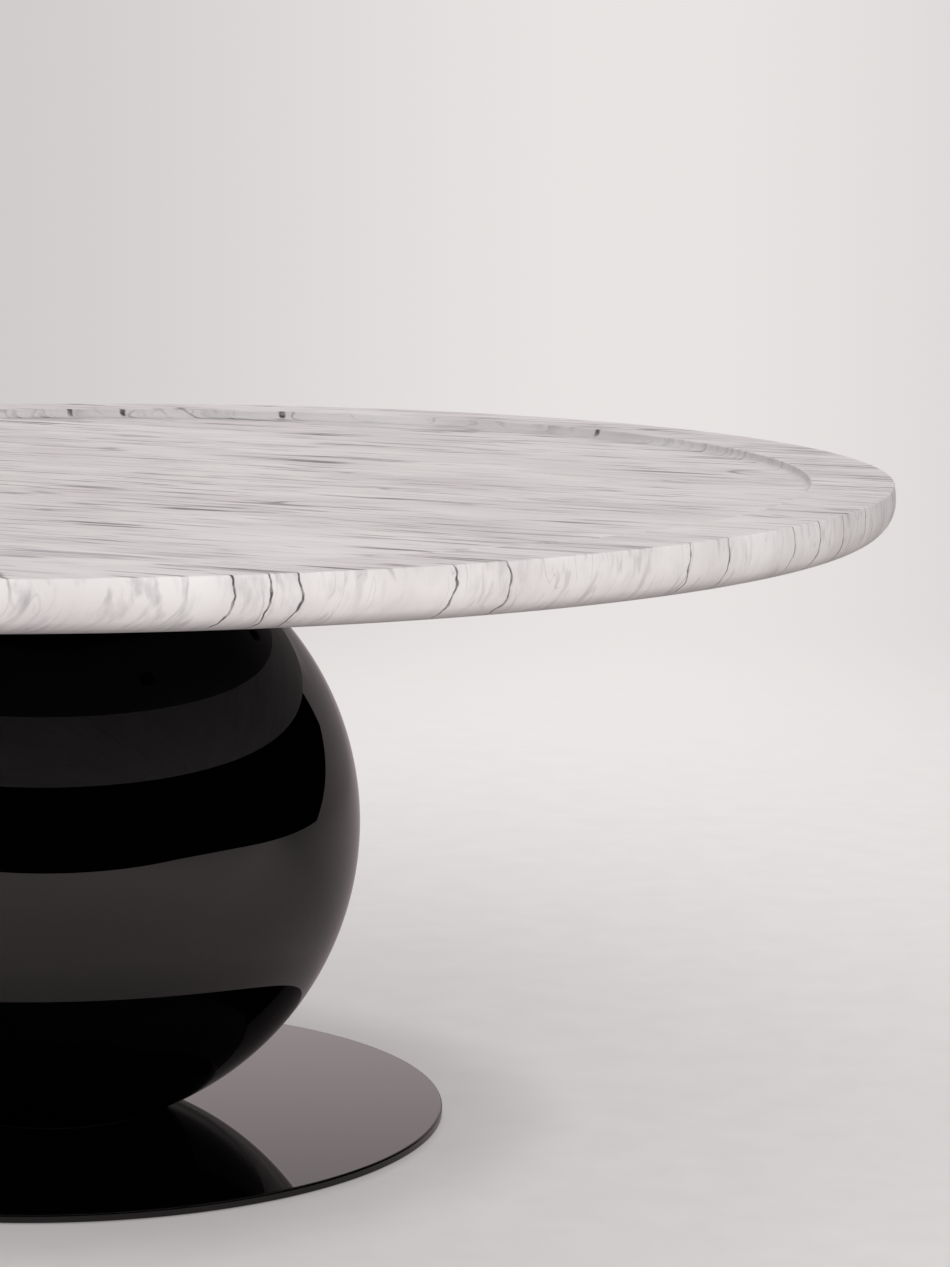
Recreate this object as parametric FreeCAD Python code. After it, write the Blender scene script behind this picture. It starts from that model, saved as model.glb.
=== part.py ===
"""Round cocktail table: a marble tray top on a lacquered ball and a thin floor plate.

Millimetres, +Z up. The origin is on the floor, on the table's axis.
"""
import FreeCAD, Part
import math
import os

# Marble top: a slab with a crisp upper arris, whose edge swells a little and then rounds in underneath
top_diameter = 1060.0
top_thickness = 30.0
edge_bulge = 1.0
edge_widest_depth = 10.0
edge_under_reach = 19.0
edge_ease = 1.0

# Shallow round tray sunk into the top, inside a flat rim
rim_width = 51.0
tray_depth = 6.0
tray_lip_round = 1.0
tray_foot_round = 4.0

# Ball: two spun shells, each with a flat open end
ball_diameter = 393.0
ball_flat_diameter = 135.0
ball_wall = 3.0
joint_ring_height = 40.0
joint_ring_thickness = 5.0
seal_thickness = 0.5

# Round steel plates above and below the ball, and the sheets on them
plate_diameter = 500.0
base_plate_thickness = 5.0
base_plate_round = 1.5
top_plate_thickness = 8.0
top_plate_round = 2.0
cushion_thickness = 2.0
cushion_inset = 10.0
pad_thickness = 1.0
pad_inset = 8.0

# Column inside the ball
tube_diameter = 60.0
tube_wall = 4.0
tube_seat_depth = 4.0
flange_thickness = 10.0
centring_ring_thickness = 4.0
centring_ring_height = 8.0

# Countersunk screws that hold the plates to the flanges
flange_screw_count = 6
flange_screw_diameter = 6.0
flange_screw_head_diameter = 12.0
flange_screw_engagement = 8.0
flange_screw_socket = 4.0
flange_screw_socket_depth = 2.0

# Button head screws, washers and inserts that hold the marble to the top plate
top_screw_count = 6
top_screw_inset = 50.0
top_screw_diameter = 8.0
top_screw_head_diameter = 14.0
top_screw_head_height = 4.4
top_screw_engagement = 10.0
top_screw_socket = 5.0
top_screw_socket_depth = 2.6
washer_diameter = 18.0
washer_thickness = 1.6
insert_diameter = 12.0
insert_length = 12.0
insert_hole_spare = 2.0

# Shares of a screw's own size
head_crown_share = 0.55
screw_tip_share = 0.1

# Clearances, each on the radius
fit_clearance = 0.3
thread_clearance = 0.1
plate_hole_clearance = 1.0
glue_gap = 0.25
overrun = 1.0

# Ball and column sizes that follow
plate_radius = plate_diameter / 2
ball_radius = ball_diameter / 2
ball_inner_radius = ball_radius - ball_wall
ball_flat_radius = ball_flat_diameter / 2
ball_half_height = math.sqrt(ball_radius**2 - ball_flat_radius**2)
ball_opening_radius = math.sqrt(ball_inner_radius**2 - ball_half_height**2)
centring_outer_radius = ball_opening_radius - fit_clearance
centring_inner_radius = centring_outer_radius - centring_ring_thickness
flange_radius = centring_inner_radius - fit_clearance
tube_radius = tube_diameter / 2
tube_seat_radius = tube_radius + glue_gap
flange_screw_circle_radius = (tube_seat_radius + flange_radius) / 2
flange_screw_radius = flange_screw_diameter / 2
flange_screw_head_radius = flange_screw_head_diameter / 2
top_screw_circle_radius = plate_radius - top_screw_inset
top_screw_radius = top_screw_diameter / 2
top_screw_bore_radius = top_screw_radius + thread_clearance
plate_hole_radius = top_screw_radius + plate_hole_clearance

# Heights, stacked up from the floor
base_plate_bottom = pad_thickness
base_plate_top = base_plate_bottom + base_plate_thickness
ball_bottom = base_plate_top + seal_thickness
ball_centre = ball_bottom + ball_half_height
ball_top = ball_centre + ball_half_height
top_plate_bottom = ball_top + seal_thickness
top_plate_top = top_plate_bottom + top_plate_thickness
marble_bottom = top_plate_top + cushion_thickness
table_height = marble_bottom + top_thickness
tray_floor = table_height - tray_depth
lower_flange_top = base_plate_top + flange_thickness
upper_flange_bottom = top_plate_bottom - flange_thickness

full_turn = 360.0
half_turn = 180.0
hexagon_sides = 6
up = FreeCAD.Vector(0, 0, 1)
across = FreeCAD.Vector(1, 0, 0)
floor_centre = FreeCAD.Vector(0, 0, 0)


def at(radius, height):
    """Point of a turned profile."""
    return FreeCAD.Vector(radius, 0, height)


def line(start, end):
    return Part.LineSegment(start, end).toShape()


def arc(centre, start, end):
    """Circular arc about centre, the shorter way from start to end."""
    middle = (start - centre) + (end - centre)
    middle.normalize()
    middle.multiply((start - centre).Length)
    return Part.Arc(start, centre + middle, end).toShape()


def quarter_round(start, corner, end):
    """Quarter circle that takes the place of a square corner."""
    return arc(start + end - corner, start, end)


def quarter_ellipse(start, corner, end):
    """Quarter ellipse that takes the place of a square corner."""
    curve = Part.BezierCurve()
    curve.setPoles([start, corner, end])
    curve.setWeight(2, math.sqrt(0.5))
    return curve.toShape()


def turned(edges):
    """Solid turned about the table's axis from a closed profile."""
    profile = Part.Face(Part.Wire(edges))
    return profile.revolve(floor_centre, up, full_turn)


def outline(points):
    """Straight edges through the points and back to the first."""
    return [line(a, b) for a, b in zip(points, points[1:] + points[:1])]


def disc(radius, bottom, thickness):
    return Part.makeCylinder(radius, thickness, at(0, bottom))


def ring(inner_radius, outer_radius, bottom, thickness):
    hole = disc(inner_radius, bottom - overrun, thickness + 2 * overrun)
    return disc(outer_radius, bottom, thickness).cut(hole)


def in_circle(shape, radius, count):
    """Copies of a shape that stands on the axis, evenly spaced on a circle."""
    copies = []
    for step in range(count):
        copy = shape.copy()
        copy.translate(at(radius, 0))
        copy.rotate(floor_centre, up, full_turn * step / count)
        copies.append(copy)
    return Part.makeCompound(copies)


def hexagon_socket(across_flats, depth, mouth):
    """Hexagonal key socket that opens downwards at the height of its mouth."""
    corner_radius = across_flats / 2 / math.cos(math.pi / hexagon_sides)
    bottom = mouth - overrun
    corners = []
    for step in range(hexagon_sides + 1):
        angle = 2 * math.pi * step / hexagon_sides
        corner_x = corner_radius * math.cos(angle)
        corner_y = corner_radius * math.sin(angle)
        corners.append(FreeCAD.Vector(corner_x, corner_y, bottom))
    face = Part.Face(Part.makePolygon(corners))
    return face.extrude(up * (depth + overrun))


def marble_top():
    widest = top_diameter / 2
    widest_height = table_height - edge_widest_depth
    under_edge = at(widest - edge_under_reach, marble_bottom)
    widest_point = at(widest, widest_height)
    tray_radius = widest - edge_bulge - rim_width
    belly_radius = (edge_bulge**2 + edge_widest_depth**2) / (2 * edge_bulge)
    belly_centre = at(widest - belly_radius, widest_height)
    ease_reach = belly_radius - edge_ease
    ease_run = math.sqrt(ease_reach**2 - (edge_widest_depth - edge_ease)**2)
    ease_centre = at(belly_centre.x + ease_run, table_height - edge_ease)
    belly_start = belly_centre + (ease_centre - belly_centre) * (belly_radius / ease_reach)
    rim_outer = at(ease_centre.x, table_height)
    rim_inner = at(tray_radius + tray_lip_round, table_height)
    wall_top = at(tray_radius, table_height - tray_lip_round)
    wall_foot = at(tray_radius, tray_floor + tray_foot_round)
    floor_edge = at(tray_radius - tray_foot_round, tray_floor)
    slab = turned([
        line(at(0, marble_bottom), under_edge),
        quarter_ellipse(under_edge, at(widest, marble_bottom), widest_point),
        arc(belly_centre, widest_point, belly_start),
        arc(ease_centre, belly_start, rim_outer),
        line(rim_outer, rim_inner),
        quarter_round(rim_inner, at(tray_radius, table_height), wall_top),
        line(wall_top, wall_foot),
        quarter_round(wall_foot, at(tray_radius, tray_floor), floor_edge),
        line(floor_edge, at(0, tray_floor)),
        line(at(0, tray_floor), at(0, marble_bottom)),
    ])
    hole_depth = insert_length + insert_hole_spare
    hole = disc(insert_diameter / 2 + glue_gap, marble_bottom - overrun, hole_depth + overrun)
    return slab.cut(in_circle(hole, top_screw_circle_radius, top_screw_count))


def threaded_inserts():
    insert = ring(top_screw_bore_radius, insert_diameter / 2, marble_bottom, insert_length)
    return in_circle(insert, top_screw_circle_radius, top_screw_count)


def cushion_sheet():
    sheet = disc(plate_radius - cushion_inset, top_plate_top, cushion_thickness)
    hole = disc(plate_hole_radius, top_plate_top - overrun, cushion_thickness + 2 * overrun)
    return sheet.cut(in_circle(hole, top_screw_circle_radius, top_screw_count))


def button_screw(bearing_height, length):
    """Button head screw that points up, with its head below the bearing height."""
    head_radius = top_screw_head_diameter / 2
    head_foot = bearing_height - top_screw_head_height
    crown_radius = head_radius * head_crown_share
    tip = bearing_height + length
    bevel = top_screw_diameter * screw_tip_share
    crown = at(crown_radius, head_foot)
    head_edge = at(head_radius, bearing_height)
    screw = turned([
        line(at(0, head_foot), crown),
        quarter_ellipse(crown, at(head_radius, head_foot), head_edge),
        line(head_edge, at(top_screw_radius, bearing_height)),
        line(at(top_screw_radius, bearing_height), at(top_screw_radius, tip - bevel)),
        line(at(top_screw_radius, tip - bevel), at(top_screw_radius - bevel, tip)),
        line(at(top_screw_radius - bevel, tip), at(0, tip)),
        line(at(0, tip), at(0, head_foot)),
    ])
    return screw.cut(hexagon_socket(top_screw_socket, top_screw_socket_depth, head_foot))


def top_screws():
    length = washer_thickness + top_plate_thickness + cushion_thickness + top_screw_engagement
    screw = button_screw(top_plate_bottom - washer_thickness, length)
    return in_circle(screw, top_screw_circle_radius, top_screw_count)


def top_washers():
    foot = top_plate_bottom - washer_thickness
    washer = ring(top_screw_bore_radius, washer_diameter / 2, foot, washer_thickness)
    return in_circle(washer, top_screw_circle_radius, top_screw_count)


def countersunk_profile(clearance, face_height, length):
    """Countersunk screw that points up from the plate's face, or its hole with a clearance."""
    head_radius = flange_screw_head_radius + clearance
    shank_radius = flange_screw_radius + clearance
    neck = face_height + flange_screw_head_radius - flange_screw_radius
    return outline([
        at(0, face_height),
        at(head_radius, face_height),
        at(shank_radius, neck),
        at(shank_radius, face_height + length),
        at(0, face_height + length),
    ])


def countersunk_screws(plate_thickness, face_height):
    length = plate_thickness + flange_screw_engagement
    screw = turned(countersunk_profile(0, face_height, length))
    screw = screw.cut(hexagon_socket(flange_screw_socket, flange_screw_socket_depth, face_height))
    return in_circle(screw, flange_screw_circle_radius, flange_screw_count)


def countersunk_holes(plate_thickness, face_height):
    hole = turned(countersunk_profile(fit_clearance, face_height, plate_thickness + overrun))
    mouth = disc(flange_screw_head_radius + fit_clearance, face_height - overrun, overrun)
    return in_circle(hole.fuse(mouth), flange_screw_circle_radius, flange_screw_count)


def turned_over(shape, height):
    """Shape turned upside down about a level line at a height."""
    flipped = shape.copy()
    flipped.rotate(at(0, height), across, half_turn)
    return flipped


def rounded_disc(radius, bottom, thickness, round_radius):
    """Disc with its upper arris rounded over."""
    top = bottom + thickness
    return turned([
        line(at(0, bottom), at(radius, bottom)),
        line(at(radius, bottom), at(radius, top - round_radius)),
        quarter_round(at(radius, top - round_radius), at(radius, top), at(radius - round_radius, top)),
        line(at(radius - round_radius, top), at(0, top)),
        line(at(0, top), at(0, bottom)),
    ])


def base_plate():
    plate = rounded_disc(plate_radius, base_plate_bottom, base_plate_thickness, base_plate_round)
    return plate.cut(countersunk_holes(base_plate_thickness, base_plate_bottom))


def base_screws():
    return countersunk_screws(base_plate_thickness, base_plate_bottom)


def top_plate():
    middle = (top_plate_bottom + top_plate_top) / 2
    plate = rounded_disc(plate_radius, top_plate_bottom, top_plate_thickness, top_plate_round)
    plate = plate.cut(countersunk_holes(top_plate_thickness, top_plate_bottom))
    plate = turned_over(plate, middle)
    hole = disc(plate_hole_radius, top_plate_bottom - overrun, top_plate_thickness + 2 * overrun)
    return plate.cut(in_circle(hole, top_screw_circle_radius, top_screw_count))


def plate_screws():
    middle = (top_plate_bottom + top_plate_top) / 2
    return turned_over(countersunk_screws(top_plate_thickness, top_plate_bottom), middle)


def floor_pad():
    return disc(plate_radius - pad_inset, 0, pad_thickness)


def lower_shell():
    centre = at(0, ball_centre)
    outer_equator = at(ball_radius, ball_centre)
    inner_equator = at(ball_inner_radius, ball_centre)
    outer_end = at(ball_flat_radius, ball_bottom)
    inner_end = at(ball_opening_radius, ball_bottom)
    return turned([
        line(inner_end, outer_end),
        arc(centre, outer_end, outer_equator),
        line(outer_equator, inner_equator),
        arc(centre, inner_equator, inner_end),
    ])


def upper_shell():
    return turned_over(lower_shell(), ball_centre)


def joint_ring():
    centre = at(0, ball_centre)
    half_height = joint_ring_height / 2
    outer_radius = ball_inner_radius - fit_clearance
    end_radius = math.sqrt(outer_radius**2 - half_height**2)
    inner_radius = end_radius - joint_ring_thickness
    lower = ball_centre - half_height
    upper = ball_centre + half_height
    return turned([
        line(at(inner_radius, lower), at(end_radius, lower)),
        arc(centre, at(end_radius, lower), at(end_radius, upper)),
        line(at(end_radius, upper), at(inner_radius, upper)),
        line(at(inner_radius, upper), at(inner_radius, lower)),
    ])


def lower_seal():
    return ring(ball_opening_radius, ball_flat_radius, base_plate_top, seal_thickness)


def upper_seal():
    return turned_over(lower_seal(), ball_centre)


def lower_centring_ring():
    return ring(centring_inner_radius, centring_outer_radius, base_plate_top, centring_ring_height)


def upper_centring_ring():
    return turned_over(lower_centring_ring(), ball_centre)


def lower_flange():
    flange = disc(flange_radius, base_plate_top, flange_thickness)
    seat = disc(tube_seat_radius, lower_flange_top - tube_seat_depth, tube_seat_depth + overrun)
    bore_radius = flange_screw_radius + thread_clearance
    bore = disc(bore_radius, base_plate_top - overrun, flange_thickness + 2 * overrun)
    return flange.cut(seat).cut(in_circle(bore, flange_screw_circle_radius, flange_screw_count))


def upper_flange():
    return turned_over(lower_flange(), ball_centre)


def column_tube():
    foot = lower_flange_top - tube_seat_depth
    length = upper_flange_bottom + tube_seat_depth - foot
    return ring(tube_radius - tube_wall, tube_radius, foot, length)


pieces = [
    marble_top,
    threaded_inserts,
    cushion_sheet,
    top_plate,
    top_screws,
    top_washers,
    plate_screws,
    upper_seal,
    upper_shell,
    joint_ring,
    lower_shell,
    lower_seal,
    upper_centring_ring,
    lower_centring_ring,
    column_tube,
    upper_flange,
    lower_flange,
    base_plate,
    base_screws,
    floor_pad,
]

os.makedirs("parts", exist_ok=True)
for piece in pieces:
    piece().exportStep(f"parts/{piece.__name__}.step")
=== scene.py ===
"""Round cocktail table: a marble tray top on a lacquered ball and a floor plate, in a studio."""

import math
from collections import defaultdict

import bmesh
import bpy
from bpy.props import FloatProperty, FloatVectorProperty, IntProperty, PointerProperty
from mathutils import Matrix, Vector


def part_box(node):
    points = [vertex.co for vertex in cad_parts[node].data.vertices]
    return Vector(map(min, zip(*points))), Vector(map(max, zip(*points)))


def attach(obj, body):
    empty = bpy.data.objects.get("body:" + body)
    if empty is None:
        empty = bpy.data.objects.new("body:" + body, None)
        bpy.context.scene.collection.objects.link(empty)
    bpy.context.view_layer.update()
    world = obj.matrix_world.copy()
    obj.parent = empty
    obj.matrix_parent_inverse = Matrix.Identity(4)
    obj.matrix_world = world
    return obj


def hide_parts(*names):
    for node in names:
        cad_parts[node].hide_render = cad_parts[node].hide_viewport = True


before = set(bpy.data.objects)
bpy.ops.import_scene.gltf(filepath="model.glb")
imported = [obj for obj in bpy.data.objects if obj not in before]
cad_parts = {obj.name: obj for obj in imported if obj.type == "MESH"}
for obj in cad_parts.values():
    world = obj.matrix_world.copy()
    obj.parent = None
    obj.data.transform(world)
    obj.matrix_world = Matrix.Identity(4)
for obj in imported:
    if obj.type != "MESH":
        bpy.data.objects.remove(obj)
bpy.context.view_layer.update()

bl_info = {
    "name": "Round cocktail table",
    "version": (1, 0, 0),
    "blender": (4, 5, 0),
    "location": "3D View > Sidebar > Table",
    "description": "Dresses the CAD model of a marble table on a black ball, and lights it",
    "category": "Add Mesh",
}

MM = 0.001
UP = Vector((0, 0, 1))
AXIS = Vector((0, 0, 0))

# Setting of a Map Range node that eases in and out
SMOOTH = {"interpolation_type": "SMOOTHSTEP"}
# Sockets of a Mix node that mixes colours
FACTOR, FIRST, SECOND, MIXED = 0, 6, 7, 2

# Settings of a property that holds a length
LENGTH = {"unit": "LENGTH", "subtype": "DISTANCE"}

# Facets on the arcs of the turned profiles, and corners of a screw's socket
FOOT_STEPS = 10
LIP_STEPS = 6
EASE_STEPS = 5
BELLY_STEPS = 12
UNDER_STEPS = 24
BALL_STEPS = 96
BALL_INSIDE_STEPS = 24
PLATE_STEPS = 8
HEAD_STEPS = 12
BROKEN_STEPS = 3
SOCKET_CORNERS = 6


def linear(text):
    """Linear RGB of an sRGB hex value such as #E6E2DE."""
    channels = [int(text[start:start + 2], 16) / 255 for start in (1, 3, 5)]
    return tuple(c / 12.92 if c <= 0.04045 else ((c + 0.055) / 1.055) ** 2.4 for c in channels)


class TableSizes(bpy.types.PropertyGroup):
    """Sizes that the CAD nodes' boxes don't give"""

    edge_bulge: FloatProperty(
        name="Edge bulge", description="How far the marble's edge swells out beyond its arris",
        default=1.0 * MM, **LENGTH)
    edge_widest_depth: FloatProperty(
        name="Widest depth", description="Depth of the marble edge's widest line below the rim",
        default=10.0 * MM, **LENGTH)
    edge_under_reach: FloatProperty(
        name="Under round", description="How far the marble edge's lower round reaches inwards",
        default=19.0 * MM, **LENGTH)
    edge_ease: FloatProperty(
        name="Eased arris", description="Radius of the marble's eased upper arris",
        default=1.0 * MM, **LENGTH)
    rim_width: FloatProperty(
        name="Rim width", description="Width of the flat rim round the tray",
        default=51.0 * MM, **LENGTH)
    tray_depth: FloatProperty(
        name="Tray depth", description="Depth of the tray below the rim",
        default=6.0 * MM, **LENGTH)
    tray_lip: FloatProperty(
        name="Tray lip", description="Radius of the tray's upper edge",
        default=1.0 * MM, **LENGTH)
    tray_foot: FloatProperty(
        name="Tray foot", description="Radius of the hollow at the foot of the tray's wall",
        default=4.0 * MM, **LENGTH)
    ball_wall: FloatProperty(
        name="Ball wall", description="Wall thickness of the ball's two shells",
        default=3.0 * MM, **LENGTH)
    base_plate_round: FloatProperty(
        name="Floor plate round", description="Radius of the floor plate's upper edge",
        default=1.5 * MM, **LENGTH)
    top_plate_round: FloatProperty(
        name="Top plate round", description="Radius of the top plate's lower edge",
        default=2.0 * MM, **LENGTH)
    broken_edge: FloatProperty(
        name="Broken edge", description="Radius that takes the sharpness off the plain edges",
        default=0.25 * MM, **LENGTH)
    fixing_circle: FloatProperty(
        name="Fixing circle", description="Radius of the circle of screws that hold the marble",
        default=200.0 * MM, **LENGTH)
    fixing_count: IntProperty(
        name="Fixings", description="Screws that hold the marble", default=6, min=3)
    plate_hole: FloatProperty(
        name="Plate hole", description="Radius of the screw holes in top plate and rubber sheet",
        default=5.0 * MM, **LENGTH)
    insert_hole: FloatProperty(
        name="Insert hole", description="Radius of the blind holes in the marble",
        default=6.25 * MM, **LENGTH)
    insert_hole_depth: FloatProperty(
        name="Insert hole depth", description="Depth of the blind holes in the marble",
        default=14.0 * MM, **LENGTH)
    sunk_circle: FloatProperty(
        name="Sunk screw circle", description="Radius of the circle of sunk screws in each plate",
        default=41.9 * MM, **LENGTH)
    sunk_mouth: FloatProperty(
        name="Sunk hole mouth", description="Radius of a countersunk hole at the plate's face",
        default=6.3 * MM, **LENGTH)
    sunk_bore: FloatProperty(
        name="Sunk hole bore", description="Radius of a countersunk hole below its cone",
        default=3.3 * MM, **LENGTH)
    screw_head: FloatProperty(
        name="Screw head", description="Radius of the button heads under the top plate",
        default=7.0 * MM, **LENGTH)
    screw_head_height: FloatProperty(
        name="Screw head height", description="Height of the button heads",
        default=4.4 * MM, **LENGTH)
    screw_crown: FloatProperty(
        name="Screw crown", description="Radius of the flat on a button head",
        default=3.85 * MM, **LENGTH)
    screw_shank: FloatProperty(
        name="Screw shank", description="Radius of the screws that hold the marble",
        default=4.0 * MM, **LENGTH)
    socket_flats: FloatProperty(
        name="Socket", description="Width of the hexagonal socket across its flats",
        default=5.0 * MM, **LENGTH)
    socket_depth: FloatProperty(
        name="Socket depth", description="Depth of the hexagonal socket",
        default=2.6 * MM, **LENGTH)
    washer_bore: FloatProperty(
        name="Washer bore", description="Radius of the hole in a washer",
        default=4.1 * MM, **LENGTH)
    washer_radius: FloatProperty(
        name="Washer radius", description="Outer radius of a washer",
        default=9.0 * MM, **LENGTH)
    segments: IntProperty(
        name="Segments", description="Facets round the large pieces", default=288, min=48)
    small_segments: IntProperty(
        name="Small segments", description="Facets round screws, washers and holes",
        default=48, min=12)


class TableColours(bpy.types.PropertyGroup):
    """Colours of the finishes and of the studio"""

    marble_white: FloatVectorProperty(
        name="Marble white", description="Clean ground of the marble", subtype="COLOR",
        default=linear("#ECE8E7"))
    marble_cloud: FloatVectorProperty(
        name="Marble cloud", description="Cloudy patches in the marble", subtype="COLOR",
        default=linear("#DBD5D5"))
    marble_grey: FloatVectorProperty(
        name="Marble grey", description="Soft streaks in the marble", subtype="COLOR",
        default=linear("#A8A2A6"))
    marble_vein: FloatVectorProperty(
        name="Marble vein", description="Veins in the marble", subtype="COLOR",
        default=linear("#77737A"))
    marble_dark: FloatVectorProperty(
        name="Marble dark vein", description="Darkest veins in the marble", subtype="COLOR",
        default=linear("#39363D"))
    floor: FloatVectorProperty(
        name="Floor", description="Studio floor and backdrop", subtype="COLOR",
        default=linear("#E8E4E3"))
    floor_mirrored: FloatVectorProperty(
        name="Mirrored floor", description="Warmer floor and backdrop that the black pieces mirror",
        subtype="COLOR", default=linear("#EADCDD"))


def add(tree, kind, inputs=(), **settings):
    """Adds a node with its settings; inputs, by name or in order, take values or links."""
    node = tree.nodes.new(kind)
    for name, value in settings.items():
        setattr(node, name, value)
    sockets = inputs if isinstance(inputs, dict) else dict(enumerate(inputs))
    for socket, value in sockets.items():
        if isinstance(value, bpy.types.NodeSocket):
            tree.links.new(value, node.inputs[socket])
        else:
            node.inputs[socket].default_value = value
    return node


def new_material(name):
    """Material with an empty node tree."""
    material = bpy.data.materials.new(name)
    material.use_nodes = True
    material.node_tree.nodes.clear()
    return material, material.node_tree


def rgba(colour):
    return (*colour, 1.0)


# Index of refraction of stone, lacquer and plastics
REFRACTION = 1.5

# The marble's bedding: its grey sheets stand nearly on edge, turned from X and dipping a little
BEDDING_TURN = math.radians(-33)
BEDDING_DIP = math.radians(-6)

# Noise cells along, across and up the sheets, in mm, and the noise's detail
BEDDING_CELLS = {
    "cloud": (160, 50, 60, 3.0),
    "smudge": (50, 4, 16, 4.0),
    "smudge_patch": (90, 60, 40, 2.0),
    "dash": (105, 5.5, 22, 1.5),
    "dash_patch": (130, 28, 50, 2.0),
    "hair": (150, 11, 70, 1.5),
    "hair_patch": (120, 9, 30, 2.0),
    "vein": (240, 24, 120, 1.0),
    "vein_patch": (200, 40, 30, 2.0),
    "dark": (320, 60, 160, 1.0),
    "dark_patch": (260, 60, 40, 2.0),
    "bead": (6, 3, 5, 2.0),
}
BEDDING_ROUGHNESS = 0.55
# Cells by which each noise is moved on from the one before, so that no two are alike
BEDDING_SHIFT = Vector((7.3, 3.1, 0))

# A ramp is two values and what they become. Streaks of each kind: ramps of the streak and of the
# patches it keeps to, both by noise value, and the share that shows on the slab's side
BEDDING_STREAKS = (
    ("smudge", (0.50, 0.70, 0.0, 0.45), (0.42, 0.62, 0.10, 1.0), 1.0),
    ("dash", (0.57, 0.65, 0.0, 0.90), (0.46, 0.58, 0.05, 1.0), 0.2),
)
# Lines of each kind, by noise value: half width on the slab's side and on level faces, and the
# ramp of the patches it keeps to
BEDDING_LINES = (
    ("hair", 0.010, 0.055, (0.44, 0.58, 0.0, 0.60)),
    ("vein", 0.007, 0.026, (0.46, 0.62, 0.0, 0.65)),
    ("dark", 0.004, 0.010, (0.50, 0.64, 0.0, 0.75)),
)
# Noise value that the lines follow, and the share of them that shows on the slab's side
LINE_VALUE = 0.5
LINE_SIDE_SHARE = 0.6

# Lengths over which the sheets stray, and how far: small breaks, cracks at the slab's edge and
# broad folds
BREAK_CELL = 9 * MM
BREAK_REACH = Vector((1.6, 1.6, 1.6)) * MM
CRACK_CELL = 14 * MM
CRACK_REACH = Vector((7, 7, 7)) * MM
FOLD_CELL = 170 * MM
FOLD_REACH = Vector((26, 14, 14)) * MM

# Single veins that stand out: those that cross the front edge and flecks on the tray's far wall,
# along X in mm, with the half length and half width of each
EDGE_VEINS = (90, 110, 125, 205, 235, 340, 365, 410, 430, 450, 470, 505)
EDGE_VEIN_HALVES = (30 * MM, 0.7 * MM)
WALL_FLECKS = (15, 55, 175, 390)
WALL_FLECK_HALVES = (4 * MM, 1.6 * MM)
# A height in metres that takes each of them right through the slab
VEIN_HEIGHT = 1000.0
# Where a vein starts to fade, as a share of the way from its middle to its outline
VEIN_CORE = 0.4
VEIN_OUTLINE = 1.0

# Ramps by a face's normal: how level it is, and the painted shade on the downward underside
LEVEL_FACE = (0.8, 0.99, 0.0, 1.0)
UNDERSIDE_PAINTED_SHADE = (-0.95, -0.6, 0.6, 1.0)
# Ramps by noise value: the cloud's share, the strength of beads along a vein, the satin's roughness
CLOUD_SHARE = (0.35, 0.68, 0.0, 1.0)
BEAD_STRENGTH = (0.35, 0.6, 0.5, 0.95)
SATIN_ROUGHNESS = (0.3, 0.7, 0.36, 0.46)
# The honed stone's fine, even tooth, drawn coarser than the real grit, so that it shows
TOOTH_CELL = 1.5 * MM
TOOTH_DEPTH = 0.05 * MM
TOOTH_STRENGTH = 0.4


def on_circle(radius, places, side):
    """Points of a circle about the axis, on its near or far side, at places along X in mm."""
    return [(x * MM, side * math.sqrt(radius ** 2 - (x * MM) ** 2)) for x in places]


def wander(tree, place, cell, reach):
    """A place shifted this way and that by up to half the reach, from a noise with the cell."""
    noise = add(tree, "ShaderNodeTexNoise", {"Vector": place, "Scale": 1 / cell, "Detail": 2.0})
    centred = add(tree, "ShaderNodeVectorMath", [
        noise.outputs["Color"], (0.5, 0.5, 0.5)], operation="SUBTRACT").outputs[0]
    shift = add(tree, "ShaderNodeVectorMath", [centred, reach], operation="MULTIPLY").outputs[0]
    return add(tree, "ShaderNodeVectorMath", [place, shift], operation="ADD").outputs[0]


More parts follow.
